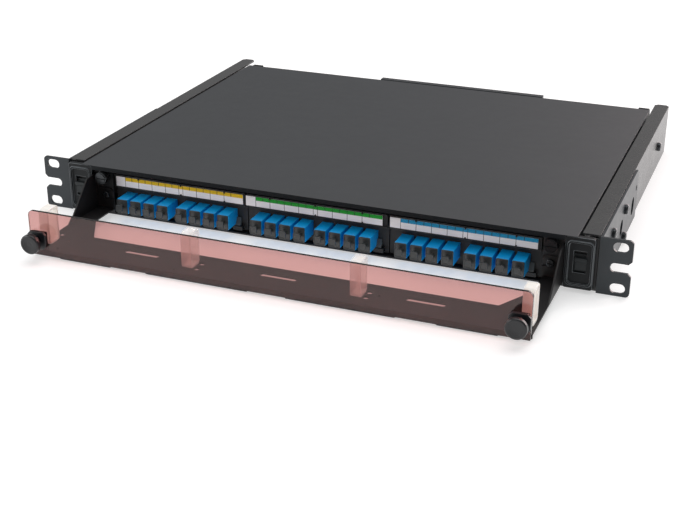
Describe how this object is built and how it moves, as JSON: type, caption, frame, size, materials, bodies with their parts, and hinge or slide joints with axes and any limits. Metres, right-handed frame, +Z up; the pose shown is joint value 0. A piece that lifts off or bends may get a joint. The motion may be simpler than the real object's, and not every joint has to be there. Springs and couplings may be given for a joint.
{
  "type": "fiber termination box",
  "caption": "Rack-mount sliding drawer with blue fibre adapters behind dust plugs, label strips and a front cord tray with a clear plate.",
  "frame": {"origin": "below the middle of the whole object, on the plane its rails stand on", "axes": "+X to the right of a person facing the front, +Y to the rear, +Z up"},
  "size_m": [0.4826, 0.4424, 0.0437],
  "materials": {
    "rail_coat": "fine satin powder coat",
    "ear_coat": "fine satin powder coat",
    "drawer_coat": "fine satin powder coat",
    "cover_coat": "fine satin powder coat",
    "tray_coat": "semi-gloss black powder coat",
    "zinc_steel": "zinc plated",
    "bezel_plastic": "fine moulded texture",
    "module_coat": "black satin coat",
    "label_card": "printed card with a colour band and number cells",
    "adapter_blue": "moulded, slightly glossy",
    "cap_smoke": "dark smoky moulding",
    "ring_frost": "milky translucent moulding",
    "rose_acrylic": "smoky rose clear acrylic, polished",
    "knob_plastic": "polished black",
    "tray_moulding": "satin moulding"
  },
  "bodies": {
    "rails": {"left_rail": "rail_coat", "right_rail": "rail_coat", "left_rack_ear": "ear_coat", "right_rack_ear": "ear_coat"},
    "drawer": {"drawer_tray": "drawer_coat", "top_cover": "cover_coat", "left_runner": "zinc_steel", "right_runner": "zinc_steel", "left_bezel": "bezel_plastic", "right_bezel": "bezel_plastic", "fibre_tray": "tray_moulding", "cable_bracket": "cover_coat"},
    "left_latch": {"left_latch_slide": "bezel_plastic"},
    "right_latch": {"right_latch_slide": "bezel_plastic"},
    "module_1": {"module_1": "module_coat", "label_strip_1": "label_card", "adapters_1a": "adapter_blue", "adapters_1b": "adapter_blue"},
    "module_2": {"module_2": "module_coat", "label_strip_2": "label_card", "adapters_2a": "adapter_blue", "adapters_2b": "adapter_blue"},
    "module_3": {"module_3": "module_coat", "label_strip_3": "label_card", "adapters_3a": "adapter_blue", "adapters_3b": "adapter_blue"},
    "dust_cap_1a1": {"dust_cap_1a1": "cap_smoke"},
    "dust_cap_1a2": {"dust_cap_1a2": "cap_smoke"},
    "dust_cap_1a3": {"dust_cap_1a3": "cap_smoke"},
    "dust_cap_1a4": {"dust_cap_1a4": "cap_smoke"},
    "dust_cap_1b1": {"dust_cap_1b1": "cap_smoke"},
    "dust_cap_1b2": {"dust_cap_1b2": "cap_smoke"},
    "dust_cap_1b3": {"dust_cap_1b3": "cap_smoke"},
    "dust_cap_1b4": {"dust_cap_1b4": "cap_smoke"},
    "dust_cap_2a1": {"dust_cap_2a1": "cap_smoke"},
    "dust_cap_2a2": {"dust_cap_2a2": "cap_smoke"},
    "dust_cap_2a3": {"dust_cap_2a3": "cap_smoke"},
    "dust_cap_2a4": {"dust_cap_2a4": "cap_smoke"},
    "dust_cap_2b1": {"dust_cap_2b1": "cap_smoke"},
    "dust_cap_2b2": {"dust_cap_2b2": "cap_smoke"},
    "dust_cap_2b3": {"dust_cap_2b3": "cap_smoke"},
    "dust_cap_2b4": {"dust_cap_2b4": "cap_smoke"},
    "dust_cap_3a1": {"dust_cap_3a1": "cap_smoke"},
    "dust_cap_3a2": {"dust_cap_3a2": "cap_smoke"},
    "dust_cap_3a3": {"dust_cap_3a3": "cap_smoke"},
    "dust_cap_3a4": {"dust_cap_3a4": "cap_smoke"},
    "dust_cap_3b1": {"dust_cap_3b1": "cap_smoke"},
    "dust_cap_3b2": {"dust_cap_3b2": "cap_smoke"},
    "dust_cap_3b3": {"dust_cap_3b3": "cap_smoke"},
    "dust_cap_3b4": {"dust_cap_3b4": "cap_smoke"},
    "cord_tray": {"cord_tray": "tray_coat", "cord_ring_1": "ring_frost", "cord_ring_2": "ring_frost", "cord_ring_3": "ring_frost", "cord_ring_4": "ring_frost"},
    "clear_cover": {"clear_cover": "rose_acrylic", "left_knob_base": "knob_plastic", "right_knob_base": "knob_plastic"},
    "left_knob": {"left_knob": "knob_plastic"},
    "right_knob": {"right_knob": "knob_plastic"}
  },
  "joints": [
    {"name": "drawer_slide", "type": "slide", "parent": "rails", "child": "drawer", "axis": [0, -1, 0], "range_m": [0, 0.24]},
    {"name": "left_latch_lift", "type": "slide", "parent": "drawer", "child": "left_latch", "axis": [0, 0, 1], "range_m": [0, 0.004], "stiffness_N_per_m": 250, "springref_m": -0.004},
    {"name": "right_latch_lift", "type": "slide", "parent": "drawer", "child": "right_latch", "axis": [0, 0, 1], "range_m": [0, 0.004], "stiffness_N_per_m": 250, "springref_m": -0.004},
    {"name": "module_1_slide", "type": "slide", "parent": "drawer", "child": "module_1", "axis": [0, -1, 0], "range_m": [0, 0.028]},
    {"name": "module_2_slide", "type": "slide", "parent": "drawer", "child": "module_2", "axis": [0, -1, 0], "range_m": [0, 0.028]},
    {"name": "module_3_slide", "type": "slide", "parent": "drawer", "child": "module_3", "axis": [0, -1, 0], "range_m": [0, 0.028]},
    {"name": "cord_tray_off", "type": "slide", "parent": "drawer", "child": "cord_tray", "axis": [0, -1, 0], "range_m": [0, 0.06]},
    {"name": "clear_cover_off", "type": "slide", "parent": "cord_tray", "child": "clear_cover", "axis": [0, -1, 0], "range_m": [0, 0.03]},
    {"name": "left_knob_pull", "type": "slide", "parent": "clear_cover", "child": "left_knob", "axis": [0, -1, 0], "range_m": [0, 0.006]},
    {"name": "right_knob_pull", "type": "slide", "parent": "clear_cover", "child": "right_knob", "axis": [0, -1, 0], "range_m": [0, 0.006]},
    {"name": "dust_cap_1a1_pull", "type": "slide", "parent": "module_1", "child": "dust_cap_1a1", "axis": [0, -1, 0], "range_m": [0, 0.015]},
    {"name": "dust_cap_1a2_pull", "type": "slide", "parent": "module_1", "child": "dust_cap_1a2", "axis": [0, -1, 0], "range_m": [0, 0.015]},
    {"name": "dust_cap_1a3_pull", "type": "slide", "parent": "module_1", "child": "dust_cap_1a3", "axis": [0, -1, 0], "range_m": [0, 0.015]},
    {"name": "dust_cap_1a4_pull", "type": "slide", "parent": "module_1", "child": "dust_cap_1a4", "axis": [0, -1, 0], "range_m": [0, 0.015]},
    {"name": "dust_cap_1b1_pull", "type": "slide", "parent": "module_1", "child": "dust_cap_1b1", "axis": [0, -1, 0], "range_m": [0, 0.015]},
    {"name": "dust_cap_1b2_pull", "type": "slide", "parent": "module_1", "child": "dust_cap_1b2", "axis": [0, -1, 0], "range_m": [0, 0.015]},
    {"name": "dust_cap_1b3_pull", "type": "slide", "parent": "module_1", "child": "dust_cap_1b3", "axis": [0, -1, 0], "range_m": [0, 0.015]},
    {"name": "dust_cap_1b4_pull", "type": "slide", "parent": "module_1", "child": "dust_cap_1b4", "axis": [0, -1, 0], "range_m": [0, 0.015]},
    {"name": "dust_cap_2a1_pull", "type": "slide", "parent": "module_2", "child": "dust_cap_2a1", "axis": [0, -1, 0], "range_m": [0, 0.015]},
    {"name": "dust_cap_2a2_pull", "type": "slide", "parent": "module_2", "child": "dust_cap_2a2", "axis": [0, -1, 0], "range_m": [0, 0.015]},
    {"name": "dust_cap_2a3_pull", "type": "slide", "parent": "module_2", "child": "dust_cap_2a3", "axis": [0, -1, 0], "range_m": [0, 0.015]},
    {"name": "dust_cap_2a4_pull", "type": "slide", "parent": "module_2", "child": "dust_cap_2a4", "axis": [0, -1, 0], "range_m": [0, 0.015]},
    {"name": "dust_cap_2b1_pull", "type": "slide", "parent": "module_2", "child": "dust_cap_2b1", "axis": [0, -1, 0], "range_m": [0, 0.015]},
    {"name": "dust_cap_2b2_pull", "type": "slide", "parent": "module_2", "child": "dust_cap_2b2", "axis": [0, -1, 0], "range_m": [0, 0.015]},
    {"name": "dust_cap_2b3_pull", "type": "slide", "parent": "module_2", "child": "dust_cap_2b3", "axis": [0, -1, 0], "range_m": [0, 0.015]},
    {"name": "dust_cap_2b4_pull", "type": "slide", "parent": "module_2", "child": "dust_cap_2b4", "axis": [0, -1, 0], "range_m": [0, 0.015]},
    {"name": "dust_cap_3a1_pull", "type": "slide", "parent": "module_3", "child": "dust_cap_3a1", "axis": [0, -1, 0], "range_m": [0, 0.015]},
    {"name": "dust_cap_3a2_pull", "type": "slide", "parent": "module_3", "child": "dust_cap_3a2", "axis": [0, -1, 0], "range_m": [0, 0.015]},
    {"name": "dust_cap_3a3_pull", "type": "slide", "parent": "module_3", "child": "dust_cap_3a3", "axis": [0, -1, 0], "range_m": [0, 0.015]},
    {"name": "dust_cap_3a4_pull", "type": "slide", "parent": "module_3", "child": "dust_cap_3a4", "axis": [0, -1, 0], "range_m": [0, 0.015]},
    {"name": "dust_cap_3b1_pull", "type": "slide", "parent": "module_3", "child": "dust_cap_3b1", "axis": [0, -1, 0], "range_m": [0, 0.015]},
    {"name": "dust_cap_3b2_pull", "type": "slide", "parent": "module_3", "child": "dust_cap_3b2", "axis": [0, -1, 0], "range_m": [0, 0.015]},
    {"name": "dust_cap_3b3_pull", "type": "slide", "parent": "module_3", "child": "dust_cap_3b3", "axis": [0, -1, 0], "range_m": [0, 0.015]},
    {"name": "dust_cap_3b4_pull", "type": "slide", "parent": "module_3", "child": "dust_cap_3b4", "axis": [0, -1, 0], "range_m": [0, 0.015]}
  ]
}
